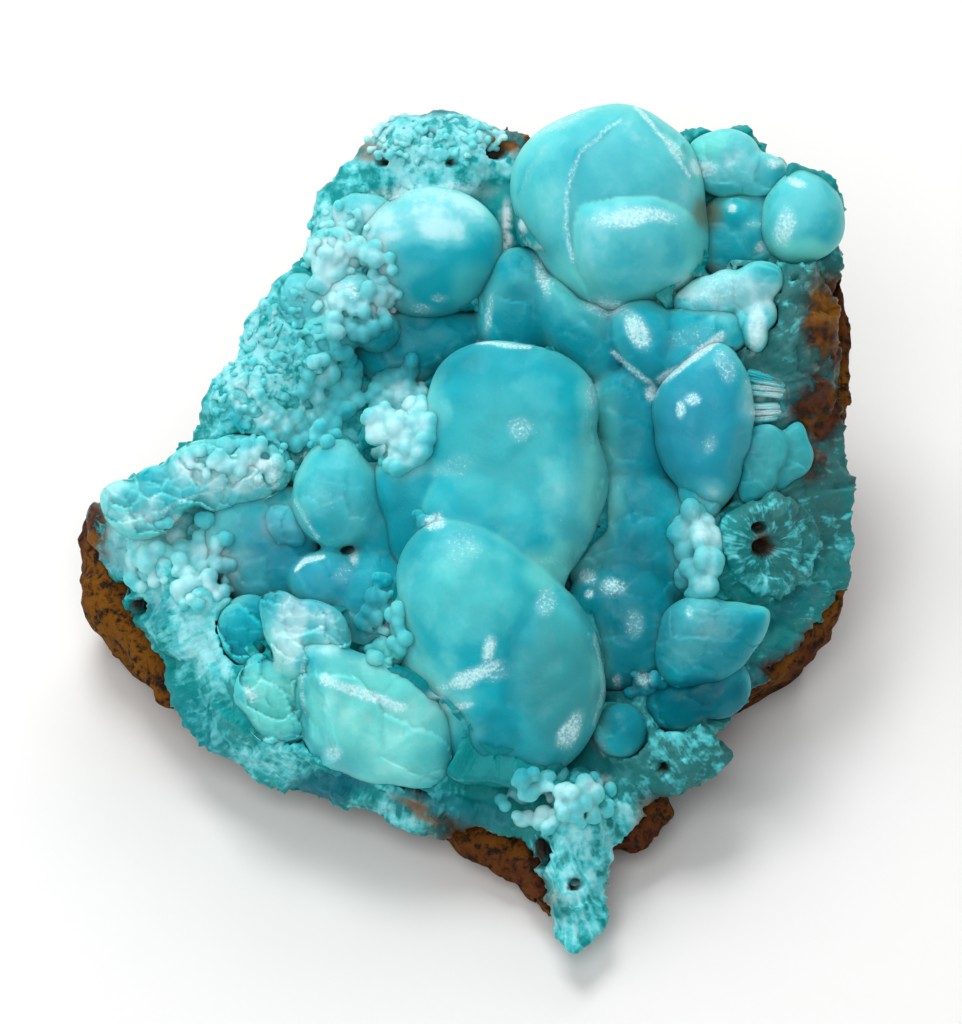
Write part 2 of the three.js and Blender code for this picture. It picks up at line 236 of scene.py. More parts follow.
# Washes of tone on the lobes: middle, half sizes, turn and strength
WASHES = {
    # Pale washes are mostly the lobes' own paler tone; the band across the top of the left dome is painted
    # light from above
    "pale": (
        (612, 200, 110, 115, 0, 0.5), (545, 150, 45, 60, -30, 0.45), (620, 150, 60, 40, 0, 0.6),
        (640, 255, 60, 45, 0, 0.3), (425, 208, 84, 40, 6, 0.85), (580, 500, 40, 70, 0, 0.5),
        (455, 590, 60, 60, 0, 0.3), (712, 503, 22, 24, 0, 0.7), (340, 490, 40, 55, 0, 0.5),
        (345, 280, 70, 75, 0, 0.85), (225, 470, 75, 34, 0, 0.88), (740, 160, 55, 34, 0, 0.8),
        (725, 290, 62, 30, -12, 0.95), (757, 325, 12, 30, 0, 1), (690, 632, 34, 40, 0, 0.5),
        (380, 715, 85, 80, 0, 0.66), (290, 630, 24, 45, -10, 1), (325, 630, 30, 34, 0, 0.8),
        (272, 702, 36, 42, 0, 0.55), (130, 505, 40, 34, 0, 0.75), (282, 526, 24, 24, 0, 0.7),
        (400, 422, 40, 56, 0, 0.9), (185, 560, 66, 54, 0, 0.9), (555, 797, 64, 38, 0, 0.75),
        (697, 548, 30, 52, 0, 0.85), (386, 630, 24, 40, 0, 0.6), (800, 205, 40, 45, 0, 0.4),
        (740, 240, 40, 34, 0, 0.3), (735, 345, 40, 30, 0, 0.2), (764, 400, 26, 24, 0, 0.85),
        (270, 365, 75, 110, 35, 0.7), (430, 138, 115, 45, 0, 0.85),
    ),
    # Green washes are partly the shells' mint tone and partly a painted glow along the thin right edges of
    # the heart, belly, bulge and corner lobe
    "green": (
        (532, 220, 18, 60, 0, 0.2), (575, 288, 45, 22, -35, 0.5), (697, 250, 14, 40, 0, 0.45),
        (480, 288, 26, 26, 0, 0.35), (600, 480, 18, 90, 0, 0.75), (560, 566, 45, 22, 20, 0.6),
        (600, 680, 12, 60, 0, 0.8), (565, 680, 42, 75, 0, 0.45), (470, 590, 60, 50, 0, 0.3),
        (500, 450, 60, 70, 0, 0.2), (803, 252, 40, 14, 0, 0.7), (775, 458, 42, 45, 0, 0.35),
        (695, 130, 30, 30, 0, 0.6), (380, 720, 80, 75, 0, 0.55), (272, 702, 36, 42, 0, 0.6),
        (592, 395, 14, 26, 0, 0.5),
    ),
    # Deep washes darken the valleys, hollows and lower sides of the lobes to deep teal: painted shade
    "deep_shade": (
        (520, 300, 45, 55, 0, 0.42), (420, 345, 75, 36, 0, 0.55), (636, 450, 55, 90, 0, 0.5),
        (630, 600, 55, 95, 0, 0.72), (495, 748, 52, 36, 0, 0.42), (575, 745, 30, 30, 0, 0.45),
        (262, 560, 48, 46, 0, 0.45), (630, 700, 45, 45, 0, 0.75), (700, 697, 58, 24, 0, 1),
        (560, 690, 48, 70, 0, 0.55), (715, 648, 48, 40, 0, 0.55), (775, 458, 42, 45, 0, 0.3),
        (395, 530, 32, 42, 0, 0.4), (362, 620, 24, 44, 0, 0.35),
        (400, 285, 42, 34, 0, 0.2), (575, 330, 40, 45, 0, 0.35),
    ),
    "slate": ((705, 420, 50, 70, 0, 0.5), (280, 540, 36, 30, 0, 0.35), (325, 580, 36, 28, 0, 0.5),
              (640, 345, 30, 36, 0, 0.3), (330, 765, 36, 22, 0, 0.3)),
    "stain": ((708, 212, 15, 16, 0, 0.8),),
}

# How strongly a painted glow lightens the steep sides of the lobes toward green, and where white highlights
# are painted
EDGE_GLOW = 0.48
PAINTED_HIGHLIGHTS = (
    (628, 219, 42, 9, 3, 0.95), (606, 306, 26, 10, 0, 0.75), (564, 120, 40, 7, 25, 0.5),
    (676, 148, 16, 5, -50, 0.8), (702, 167, 14, 8, 0, 1), (425, 192, 62, 10, 4, 0.5),
    (422, 308, 14, 6, 0, 0.6), (437, 298, 9, 5, 0, 0.5), (507, 222, 5, 24, 0, 0.8),
    (542, 274, 6, 22, 15, 0.75), (488, 318, 5, 20, -5, 0.65), (640, 331, 11, 20, 20, 0.9),
    (652, 391, 6, 8, 0, 1), (690, 336, 26, 12, 20, 0.35), (680, 409, 4, 8, 0, 0.8), (691, 399, 8, 6, 0, 0.8),
    (725, 368, 9, 16, 20, 0.5), (710, 446, 8, 12, -30, 0.5), (520, 427, 12, 12, 0, 0.55),
    (486, 395, 22, 14, 0, 0.1), (456, 466, 18, 12, 20, 0.35), (545, 560, 12, 5, 0, 0.4),
    (592, 396, 8, 16, 0, 0.5), (575, 500, 22, 25, 0, 0.12), (436, 521, 10, 8, 0, 0.95),
    (462, 545, 18, 20, -30, 0.4), (545, 600, 10, 14, -40, 0.5), (489, 647, 7, 13, -20, 1),
    (470, 675, 28, 8, 25, 0.95), (494, 672, 12, 10, 0, 0.5), (462, 704, 13, 3, 8, 0.75),
    (568, 731, 9, 21, -25, 0.8), (587, 577, 9, 8, 0, 0.7), (614, 586, 12, 10, 0, 0.75),
    (588, 594, 5, 5, 0, 0.9), (636, 622, 9, 14, 0, 0.45), (617, 680, 6, 9, 0, 0.8), (643, 678, 9, 9, 0, 0.8),
    (600, 742, 6, 12, 30, 0.5), (335, 752, 11, 8, 0, 0.6), (252, 694, 6, 9, 35, 0.95),
    (332, 498, 16, 14, 0, 0.22), (345, 575, 10, 14, -30, 0.45), (354, 556, 5, 9, 15, 0.95),
    (262, 465, 15, 7, 0, 1), (258, 480, 13, 8, 0, 0.8), (276, 480, 6, 12, 0, 1), (301, 457, 5, 6, 0, 1),
    (178, 520, 6, 7, 0, 0.9), (786, 225, 10, 20, 0, 0.8), (798, 182, 10, 5, -20, 0.95),
    (733, 207, 5, 5, 0, 0.95), (720, 290, 45, 18, 15, 0.45), (756, 325, 6, 24, -5, 1),
    (777, 162, 10, 6, 0, 1), (755, 223, 10, 4, 0, 0.5), (762, 246, 6, 6, 0, 0.8), (352, 290, 6, 10, 30, 0.9),
    (375, 308, 5, 5, 0, 0.9), (392, 311, 5, 5, 0, 0.9), (405, 405, 12, 12, 0, 0.5),
    (388, 440, 10, 14, 0, 0.5), (700, 532, 8, 8, 0, 0.7), (688, 612, 5, 8, 0, 0.8),
    (600, 782, 10, 6, 0, 0.4), (764, 388, 18, 9, -10, 0.7), (763, 413, 16, 6, 0, 0.7),
    (290, 640, 18, 40, 10, 0.25),
)
# Lines of painted highlight along steps and ridges
PAINTED_HIGHLIGHT_LINES = (
    (((622, 118), (578, 153), (568, 186), (566, 228), (572, 262)), 2.6, 0.7), (CROWN_ARC, 1.5, 0.4),
    (((636, 105), (662, 135), (690, 176)), 2.5, 0.8),
    (((722, 335), (700, 352), (680, 368), (660, 380)), 5, 0.9),
    (((612, 352), (630, 367), (652, 384)), 3, 0.8), (((478, 342), (500, 345), (530, 348)), 3, 0.8),
    (((326, 678), (360, 690), (402, 706)), 6, 0.85), (((297, 568), (306, 560), (323, 557)), 3, 1),
    (((296, 500), (306, 520), (318, 538)), 2.5, 0.6), (((594, 632), (603, 690), (592, 722)), 2.5, 0.45),
    (((160, 512), (190, 498), (222, 488)), 2.5, 0.6), (((306, 655), (303, 690), (306, 712)), 2.5, 0.6),
)

# The broken edge
HOLLOW_MIDDLE = (500, 520)
BROW = (
    (135, 500), (150, 570), (215, 640), (250, 715), (330, 765), (440, 790), (520, 810), (570, 850),
    (600, 810), (640, 760), (680, 715), (690, 650), (705, 560), (770, 480), (765, 370), (775, 275),
    (790, 230), (730, 170), (640, 160), (530, 165), (440, 160), (375, 185), (345, 250), (290, 315),
    (235, 410), (205, 470),
)
COVERED = (CROWN, CROWN_BACK, LEFT_DOME, CORNER_LOBE, HEART, BELLY, TEARDROP, PALE_SHELL,
           *(mass[0] for mass in (*HOLLOW_LOBES, *MILKY_LOBES, *BROKEN_SHELLS)))
SLOPES = ((265, 375, 75, 100, 35, 1), (340, 235, 50, 65, 0, 1), (430, 138, 115, 45, 0, 1))
# Dark pits, dented and painted umber: partly brown rock in the holes, partly painted shade
PITS = (
    (118, 591, 7, 9, 0, 1), (134, 609, 8, 9, 0, 1), (575, 880, 7, 6, 0, 1), (662, 768, 5, 4, 0, 1),
    (796, 276, 3, 3, 0, 1), (540, 850, 9, 14, 0, 1), (760, 547, 10, 9, 0, 1), (756, 527, 8, 5, 0, 1),
    (452, 160, 5, 4, 0, 1), (498, 148, 10, 8, 0, 1), (380, 160, 6, 4, 0, 1), (430, 128, 5, 4, 0, 1),
    (416, 790, 14, 5, -35, 1),
)
EDGE_WASHES = {
    "pale": (
        (265, 370, 80, 115, 35, 0.7), (430, 140, 115, 48, 0, 0.85), (350, 230, 50, 60, 0, 0.75),
        (140, 530, 60, 60, 0, 1), (195, 625, 60, 40, -45, 0.75), (205, 700, 50, 60, 35, 0.25),
        (575, 905, 40, 60, 0, 0.55), (690, 745, 85, 45, 35, 0.3), (800, 560, 55, 55, 0, 0.12),
        (780, 290, 60, 50, 0, 0.1), (390, 805, 50, 30, 0, 0.5), (770, 480, 45, 45, 0, 0.12),
        (600, 830, 60, 50, 0, 0.6), (270, 760, 60, 26, 0, 0.4), (830, 500, 30, 60, 0, 0.1),
        (763, 548, 44, 50, 0, 0.18),
    ),
    # Deep washes darken the wall of the hollow and the crevices under the shells: painted shade
    "deep_shade": (
        (196, 735, 26, 50, 35, 0.4), (330, 785, 44, 16, 10, 1), (455, 805, 60, 14, -12, 0.6),
        (500, 500, 170, 230, 0, 0.6), (160, 612, 16, 14, 0, 0.5), (760, 680, 50, 20, 30, 0.4),
        (110, 560, 16, 20, 0, 0.5), (800, 420, 16, 40, 0, 0.4), (785, 610, 60, 10, 35, 0.4),
    ),
    "slate": ((800, 400, 90, 200, 0, 0.9), (700, 740, 130, 90, 0, 0.7), (500, 850, 160, 60, 0, 0.5)),
    "stain": (
        (830, 325, 26, 48, 0, 1), (822, 410, 26, 36, 0, 1), (812, 462, 14, 22, 0, 0.7),
        (806, 650, 66, 16, 42, 0.9), (440, 104, 60, 6, 0, 0.6), (366, 148, 20, 11, -20, 0.6),
        (512, 138, 26, 14, 0, 0.9), (88, 530, 20, 32, 0, 0.9), (125, 645, 50, 18, -52, 1),
        (492, 862, 70, 22, -35, 0.9), (655, 822, 20, 28, 0, 0.9), (430, 812, 40, 9, -25, 0.7),
        (760, 545, 12, 12, 0, 0.9),
    ),
}

# The rock: its middle, how far its front draws back or swells, and where it shows beyond the crust
ROCK_MIDDLE = (0, -7)
TUCK = 4.6
SWELL = 1.6
ROCK_PATCHES = (
    (88, 530, 30, 40, 0, 1), (125, 645, 80, 34, -52, 1), (845, 370, 30, 110, 0, 1),
    (812, 642, 70, 26, 42, 1), (490, 862, 80, 30, -35, 0.9), (655, 830, 30, 40, 0, 1),
    (440, 100, 120, 30, 0, 1),
)
OCHRE_PATCHES = ((120, 640, 70, 34, -52, 1), (840, 600, 40, 40, 0, 0.7))

# Patches of small balls: middle, half sizes, size of a ball and how many, in pixels
DRUSE = (
    (185, 560, 58, 46, 9, 85), (400, 420, 33, 52, 9, 150), (330, 388, 30, 45, 9, 50),
    (355, 290, 46, 50, 9, 70), (555, 797, 56, 30, 9, 60), (697, 550, 22, 46, 12, 60),
    (386, 628, 22, 38, 9, 34), (240, 460, 60, 20, 8, 40), (640, 682, 22, 12, 6, 20),
    (300, 430, 40, 24, 8, 40), (414, 366, 9, 9, 9, 2), (379, 582, 8, 8, 9, 3), (425, 520, 10, 8, 6, 8),
    (272, 368, 66, 84, 3.6, 380), (425, 135, 80, 26, 3.8, 150), (330, 240, 40, 40, 5, 60),
)


def linear(colour):
    """A palette colour as the linear RGBA that shaders take."""
    def channel(value):
        share = value / 255
        return share / 12.92 if share <= 0.04045 else ((share + 0.055) / 1.055) ** 2.4
    return (*map(channel, colour), 1)


# Places


def display_height(row):
    """Height of the display side over the table, at a row of the photograph."""
    share = (PHOTO_FRONT - row) / (PHOTO_FRONT - PHOTO_BACK)
    return FRONT_HEIGHT + share * (BACK_HEIGHT - FRONT_HEIGHT)


def place(px, py, height):
    """The point that a pixel shows at a height over the table."""
    up = (PHOTO_ORIGIN[1] - py) * PIXEL
    depth = (up - height * math.cos(ELEVATION)) / math.sin(ELEVATION)
    return Vector(((px - PHOTO_ORIGIN[0]) * PIXEL, depth, height))


def on_display(at, rise):
    """The point that a pixel shows at a rise over the display side."""
    return place(*at, display_height(at[1]) + rise)


def pixels_of(points):
    """The pixel columns and rows at which points show."""
    across = PHOTO_ORIGIN[0] + points[:, 0] / PIXEL
    down = PHOTO_ORIGIN[1] - (points @ np.array(UP)) / PIXEL
    return across, down


# Fields over many points


def step(low, high, value):
    """0 below low, 1 above high and smooth between, also with low above high."""
    share = np.clip((value - low) / (high - low), 0, 1)
    return share * share * (3 - 2 * share)


def waves(points, size, seed=0):
    """Smooth noise from about -1 to 1, with lumps of a size."""
    return np.array([noise.noise(p) for p in (points / size + 17.3 * seed).tolist()])


def grains(points, size, seed=0):
    """Rounded grains of a size: 1 on their middles, 0 in the seams between them."""
    values = []
    for p in (points / size + 11.7 * seed).tolist():
        near, far = noise.voronoi(p)[0][:2]
        values.append(far - near)
    return np.clip(np.array(values), 0, 1)


def chips(points, size, seed=0):
    """The heights of small flat faces, each tilted its own way, in shares of their size."""
    values = []
    for p in (points / size + 7.9 * seed).tolist():
        middle = noise.voronoi(p)[1][0]
        tilt = noise.cell_vector(middle * 37)
        values.append((Vector(p) - middle).dot(tilt))
    return np.array(values)


class Seen:
    """Where points show in the photograph, with the unevenness that makes edges ragged."""

    def __init__(self, points):
        self.across, self.down = pixels_of(points)
        self.wobble = waves(points, 2.4, 3)
        self.jitter = 2 * np.stack([waves(points, 1.5, 4), waves(points, 1.5, 5)], 1)


def washes(seen, places, edge=0.5, ragged=0.3):
    """The strongest of several soft ellipses of the photograph, each with its middle, its half sizes, its
    turn in degrees and its strength."""
    found = np.zeros(len(seen.across))
    for px, py, half_along, half_over, turn, strength in places:
        cos, sin = math.cos(math.radians(turn)), math.sin(math.radians(turn))
        along = (seen.across - px) * cos - (seen.down - py) * sin
        over = (seen.across - px) * sin + (seen.down - py) * cos
        reach = np.hypot(along / half_along, over / half_over) + ragged * seen.wobble
        found = np.maximum(found, strength * step(1 + edge, 1 - edge, reach))
    return found


def strokes(seen, lines):
    """The strongest of several lines of the photograph, each with its corners, its half width and its
    strength."""
    spots = np.stack([seen.across, seen.down], 1) + seen.jitter
    found = np.zeros(len(spots))
    for corners, half, strength in lines:
        gap = np.full(len(spots), 1e9)
        for first, second in zip(corners, corners[1:]):
            first = np.array(first, float)
            way = np.array(second, float) - first
            share = np.clip((spots - first) @ way / (way @ way), 0, 1)
            gap = np.minimum(gap, np.linalg.norm(spots - first - share[:, None] * way, axis=1))
        found = np.maximum(found, strength * step(1.5 * half, 0.4 * half, gap))
    return found


def edge_reach(outline):
    """The middle of an outline, and how far its edge lies from there at any angles, in pixels."""
    corners = np.array(outline, float)
    middle = corners.mean(0)
    offsets = corners - middle
    angles = np.arctan2(-offsets[:, 1], offsets[:, 0])
    order = np.argsort(angles)
    ring = np.linspace(-math.pi, math.pi, 361)[:-1]
    reaches = np.interp(ring, angles[order], np.hypot(*offsets.T)[order], period=2 * math.pi)
    reaches = sum(np.roll(reaches, turn) for turn in range(-7, 8)) / 15
    return middle, lambda angle: np.interp(angle, ring, reaches, period=2 * math.pi)


def share_of(seen, outline):
    """How far points lie from the middle of an outline, as a share of the way to its edge."""
    middle, reach = edge_reach(outline)
    across, up = seen.across - middle[0], middle[1] - seen.down
    return np.hypot(across, up) / reach(np.arctan2(up, across))


def cap(seen, outline, height, power=2.0):
    """The heights of a rounded swelling inside an outline, steep at its edge."""
    share = np.clip(share_of(seen, outline), 0, 1)
    return height * np.sqrt(1 - share ** power)


def swelling(seen, outline, height):
    """The heights of a swelling that fades into what is around it."""
    share = np.clip(share_of(seen, outline), 0, 1)
    return height * (1 - share ** 2) ** 2


# Meshes


def coords_of(mesh):
    values = np.empty(len(mesh.vertices) * 3)
    mesh.vertices.foreach_get("co", values)
    return values.reshape(-1, 3)


def normals_of(mesh):
    values = np.empty(len(mesh.vertices) * 3)
    mesh.vertices.foreach_get("normal", values)
    return values.reshape(-1, 3)


def move_to(mesh, points):
    mesh.vertices.foreach_set("co", np.asarray(points, float).ravel())
    mesh.update()


def keep(mesh, name, values):
    """Stores one number or one vector for each vertex, for the materials."""
    flat = values.ndim == 1
    layer = mesh.attributes.new(name, "FLOAT" if flat else "FLOAT_VECTOR", "POINT")
    layer.data.foreach_set("value" if flat else "vector", np.asarray(values, float).ravel())


def to_mesh(bm, name, voxel=None, rounds=0):
    """A finished bmesh as a mesh, made one skin by voxels of a size and then smoothed, if asked."""
    mesh = bpy.data.meshes.new(name)
    bm.to_mesh(mesh)
    bm.free()
    if voxel is None:
        return mesh
    holder = bpy.data.objects.new(name, mesh)
    bpy.context.scene.collection.objects.link(holder)
    remesh = holder.modifiers.new("one_skin", "REMESH")
    remesh.mode = "VOXEL"
    remesh.voxel_size = voxel
    if rounds:
        relax = holder.modifiers.new("relax", "SMOOTH")
        relax.factor = 0.5
        relax.iterations = rounds
    shaped = holder.evaluated_get(bpy.context.evaluated_depsgraph_get())
    skin = bpy.data.meshes.new_from_object(shaped)
    bpy.data.objects.remove(holder)
    bpy.data.meshes.remove(mesh)
    skin.name = name
    return skin


def cad_copy(node):
    """A bmesh of a CAD node in millimetres, with its loose triangles merged."""
    bm = bmesh.new()
    bm.from_mesh(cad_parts[node].data)
    bmesh.ops.scale(bm, vec=(1 / MM, 1 / MM, 1 / MM), verts=bm.verts)
    bmesh.ops.remove_doubles(bm, verts=bm.verts, dist=1e-3)
    return bm


built = []


def finish_piece(mesh, finish, node):
    """Scales a mesh to metres and puts it on the specimen in place of a CAD node."""
    built.append((coords_of(mesh), [tuple(face.vertices) for face in mesh.polygons]))
    mesh.transform(Matrix.Scale(MM, 4))
    mesh.materials.clear()
    mesh.materials.append(finish)
    mesh.shade_smooth()
    piece = bpy.data.objects.new(mesh.name, mesh)
    bpy.context.scene.collection.objects.link(piece)
    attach(piece, "root")
    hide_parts(node)
    return piece


def crust_piece(mesh, finish):
    return finish_piece(mesh, finish, "smithsonite_crust")


# Materials


def shade(tree, kind, inputs, **settings):
    """Adds a shader node. An input is a value, or another node's output to link."""
    new = tree.nodes.new("ShaderNode" + kind)
    for name, value in settings.items():
        setattr(new, name, value)
    for socket, value in inputs.items():
        if isinstance(value, bpy.types.NodeSocket):
            tree.links.new(value, new.inputs[socket])
        else:
            new.inputs[socket].default_value = value
    return new


def blend(tree, share, first, second):
    """The colour between two colours, each a palette colour or an output."""
    def socket(colour):
        return colour if isinstance(colour, bpy.types.NodeSocket) else linear(colour)
    return shade(tree, "Mix", {0: share, 6: socket(first), 7: socket(second)}, data_type="RGBA").outputs[2]


def ramp(tree, value, low, high, start=0.0, end=1.0):
    """An output from start at low to end at high."""
    inputs = {"Value": value, "From Min": low, "From Max": high, "To Min": start, "To Max": end}
    return shade(tree, "MapRange", inputs, interpolation_type="SMOOTHSTEP").outputs[0]


def sums(tree, first, second, operation="ADD"):
    clamped = operation == "ADD"
    return shade(tree, "Math", {0: first, 1: second}, operation=operation, use_clamp=clamped).outputs[0]


def times(tree, first, second):
    return sums(tree, first, second, "MULTIPLY")


def mask(tree, name):
    return shade(tree, "Attribute", {}, attribute_name=name).outputs["Fac"]


def object_coords(tree):
    return shade(tree, "TexCoord", {}).outputs["Object"]


def speckle(tree, coords, size, detail=3.0, roughness=0.55):
    """Noise with features of a size in millimetres."""
    inputs = {"Vector": coords, "Scale": 1 / (size * MM), "Detail": detail, "Roughness": roughness}
    return shade(tree, "TexNoise", inputs).outputs["Fac"]


def cells(tree, coords, size, output="Distance"):
    return shade(tree, "TexVoronoi", {"Vector": coords, "Scale": 1 / (size * MM)}).outputs[output]


def bump(tree, height, depth, strength=1.0, below=None):
    """A bump of a depth in millimetres, on top of another one if given."""
    inputs = {"Height": height, "Distance": depth * MM, "Strength": strength}
    if below is not None:
        inputs["Normal"] = below
    return shade(tree, "Bump", inputs).outputs["Normal"]


def sparkle(tree, coords, size, amount, below):
    """A normal that tilts at random from one tiny crystal face to the next."""
    faces = cells(tree, coords, size, "Color")
    tilt = shade(tree, "VectorMath", {0: faces, 1: (0.5, 0.5, 0.5)}, operation="SUBTRACT").outputs[0]
    tilt = shade(tree, "VectorMath", {0: tilt, "Scale": amount}, operation="SCALE").outputs[0]
    tilted = shade(tree, "VectorMath", {0: tilt, 1: below}, operation="ADD").outputs[0]
    return shade(tree, "VectorMath", {0: tilted}, operation="NORMALIZE").outputs[0]


def new_finish(name):
    material = bpy.data.materials.new(name)
    material.use_nodes = True
    tree = material.node_tree
    tree.nodes.clear()
    return material, tree


def close_finish(tree, inputs):
    surface = shade(tree, "BsdfPrincipled", inputs, subsurface_method="RANDOM_WALK")
    shade(tree, "OutputMaterial", {"Surface": surface.outputs[0]})


def painted_highlights_on(seen):
    """How far painted white highlights break the shine."""
    return np.maximum(washes(seen, PAINTED_HIGHLIGHTS, 0.6, 0.5), strokes(seen, PAINTED_HIGHLIGHT_LINES))


def wash_masks(mesh):
    """Stores how pale, deep, green, slate and stained each vertex is, and where highlights are painted. Deep
    is partly painted shade, pale partly painted light and green partly a painted edge glow.
    """
    seen = Seen(coords_of(mesh))
    facing = normals_of(mesh) @ np.array(OUT)
    front = step(-0.1, 0.25, facing)
    tones = {name: washes(seen, places) * (0.5 + 0.5 * front) for name, places in WASHES.items()}
    # Sides steep to the display direction get a painted glow of light through thin edges, mixed into the
    # green mask
    tones["green"] = np.maximum(tones["green"], EDGE_GLOW * step(0.85, 0.25, facing) * (1 - tones["deep_shade"]))
    for name, values in tones.items():
        keep(mesh, name, values)
    keep(mesh, "painted_highlight", painted_highlights_on(seen) * front)


def waxy_finish(name, scatter):
    """Smooth translucent smithsonite, with a satin shine that breaks into white sparkles, partly from tilted
    tiny faces and partly painted white highlights. Light scatters in it over a length in millimetres."""
    material, tree = new_finish(name)
    coords = object_coords(tree)
    cloud = speckle(tree, coords, 5.0, 4.0)
    fine = speckle(tree, coords, 0.5, 5.0, 0.6)
    flecks = speckle(tree, coords, 0.32, 3.0, 0.7)
    paleness = sums(tree, mask(tree, "pale"), ramp(tree, cloud, 0.38, 0.7, -0.2, 0.22))
    colour = blend(tree, ramp(tree, paleness, 0.0, 0.6), TURQUOISE, SKY)
    colour = blend(tree, ramp(tree, paleness, 0.55, 1.0), colour, MILK)
    # Green: mint tone, partly a painted glow on thin and steep edges
    colour = blend(tree, mask(tree, "green"), colour, MINT)
    # Painted shade: deep teal in the valleys, hollows and lower sides
    colour = blend(tree, mask(tree, "deep_shade"), colour, DEEP_TEAL)
    colour = blend(tree, mask(tree, "slate"), colour, SLATE)
    # Painted highlights: the colour turns milky and then glint white where highlights are painted, and the
    # tiny faces tilt more there
    painted_highlight = mask(tree, "painted_highlight")
    lit = shade(tree, "Math", {0: painted_highlight, 1: 0.42, 2: flecks}, operation="MULTIPLY_ADD").outputs[0]
    colour = blend(tree, ramp(tree, painted_highlight, 0.0, 1.0, 0.0, 0.45), colour, MILK)
    colour = blend(tree, ramp(tree, lit, 0.66, 1.0), colour, GLINT)
    colour = blend(tree, mask(tree, "stain"), colour, OLIVE)
    wavy = bump(tree, speckle(tree, coords, 2.2, 2.0), 0.2, 0.4)
    silk = bump(tree, fine, 0.12, 0.6, wavy)
    sparkle_bumps = bump(tree, flecks, 0.12, painted_highlight, silk)
    glints = sparkle(tree, coords, 0.25, ramp(tree, painted_highlight, 0.0, 1.0, 0.05, 0.5), sparkle_bumps)
    close_finish(tree, {
        "Base Color": colour, "Roughness": ramp(tree, fine, 0.3, 0.7, 0.28, 0.46), "Normal": glints,
        "Specular IOR Level": SHINE, "IOR": 1.38, "Subsurface Weight": 1.0,
        "Subsurface Radius": (0.4, 1.0, 0.95), "Subsurface Scale": scatter * MM,
    })
    return material


def fibrous_finish():
    """The broken edge of the crust: pale and teal fibres, granular slopes and brown stains."""
    material, tree = new_finish("fibrous_smithsonite")
    coords = object_coords(tree)
    along = shade(tree, "Attribute", {}, attribute_name="fibre").outputs["Vector"]
    strands = shade(tree, "TexNoise", {"Vector": along, "Scale": 2.2, "Detail": 5.0}).outputs["Fac"]
    broad = speckle(tree, coords, 6.0, 4.0)
    mottle = speckle(tree, coords, 1.5, 5.0, 0.6)
    crumbs = cells(tree, coords, 0.75)
    streak = times(tree, ramp(tree, strands, 0.36, 0.68, -0.16, 0.2), mask(tree, "fibrous"))
    paleness = sums(tree, mask(tree, "pale"), streak)
    paleness = sums(tree, paleness, ramp(tree, mottle, 0.34, 0.7, -0.26, 0.28))
    paleness = sums(tree, paleness, ramp(tree, broad, 0.35, 0.68, -0.2, 0.2))
    colour = blend(tree, mask(tree, "slate"), SEA_GREEN, GREY_TEAL)
    colour = blend(tree, ramp(tree, paleness, 0.1, 0.6), colour, AQUA)
    colour = blend(tree, ramp(tree, paleness, 0.5, 1.0), colour, PALE_AQUA)
    gaps = times(tree, ramp(tree, mottle, 0.5, 0.36), mask(tree, "grainy"))
    colour = blend(tree, ramp(tree, gaps, 0.0, 1.0, 0.0, 0.75), colour, SEA_GREEN)
    # Painted shade: deep teal in the hollow and the crevices
    colour = blend(tree, mask(tree, "deep_shade"), colour, DEEP_TEAL)
    # Painted highlights: white flecks where highlights are painted
    colour = blend(tree, times(tree, mask(tree, "painted_highlight"), ramp(tree, mottle, 0.36, 0.55)), colour, HIGHLIGHT_WHITE)
    rock = blend(tree, ramp(tree, mottle, 0.4, 0.6), UMBER, RUST)
    rock = blend(tree, ramp(tree, broad, 0.5, 0.62), rock, OCHRE)
    stained = times(tree, mask(tree, "stain"), ramp(tree, mottle, 0.3, 0.5, 0.4, 1.2))
    colour = blend(tree, stained, colour, rock)
    # Pits turn umber: partly brown rock, partly painted shade in the holes
    colour = blend(tree, mask(tree, "pit"), colour, UMBER)
    rough = bump(tree, mottle, 0.35, 0.4)
    ribbed = bump(tree, strands, 0.35, 0.4, rough)
    crumbly = bump(tree, crumbs, 0.06, 0.3, ribbed)
    glints = sparkle(tree, coords, 0.3, 0.2, crumbly)
    close_finish(tree, {
        "Base Color": colour, "Roughness": ramp(tree, mottle, 0.3, 0.7, 0.28, 0.6), "Normal": glints,
        "Specular IOR Level": SHINE, "IOR": 1.38, "Subsurface Weight": 0.6,
        "Subsurface Radius": (0.5, 1.0, 0.95), "Subsurface Scale": EDGE_SCATTER * MM,
    })
    return material


def limonite_finish():
    """Crumbly iron-brown rock, ochre on the grains and nearly black in the pores."""
    material, tree = new_finish("crumbly_limonite")
    coords = object_coords(tree)
    broad = speckle(tree, coords, 7.0, 4.0)
    fine = speckle(tree, coords, 1.0, 5.0, 0.65)
    colour = blend(tree, ramp(tree, broad, 0.44, 0.72), RUST, OCHRE)
    colour = blend(tree, mask(tree, "ochre"), colour, OCHRE)
    colour = blend(tree, ramp(tree, fine, 0.56, 0.36), colour, UMBER)
    grain = bump(tree, fine, 0.5, 0.8)
    pores = bump(tree, cells(tree, coords, 0.7), 0.2, 0.5, grain)
    close_finish(tree, {
        "Base Color": colour, "Roughness": 0.85, "Normal": pores,
        "Specular IOR Level": 0.1,
    })
    return material


# Rounded masses: outline, rise over the display side, depth, and how full the edges are with 2 for round


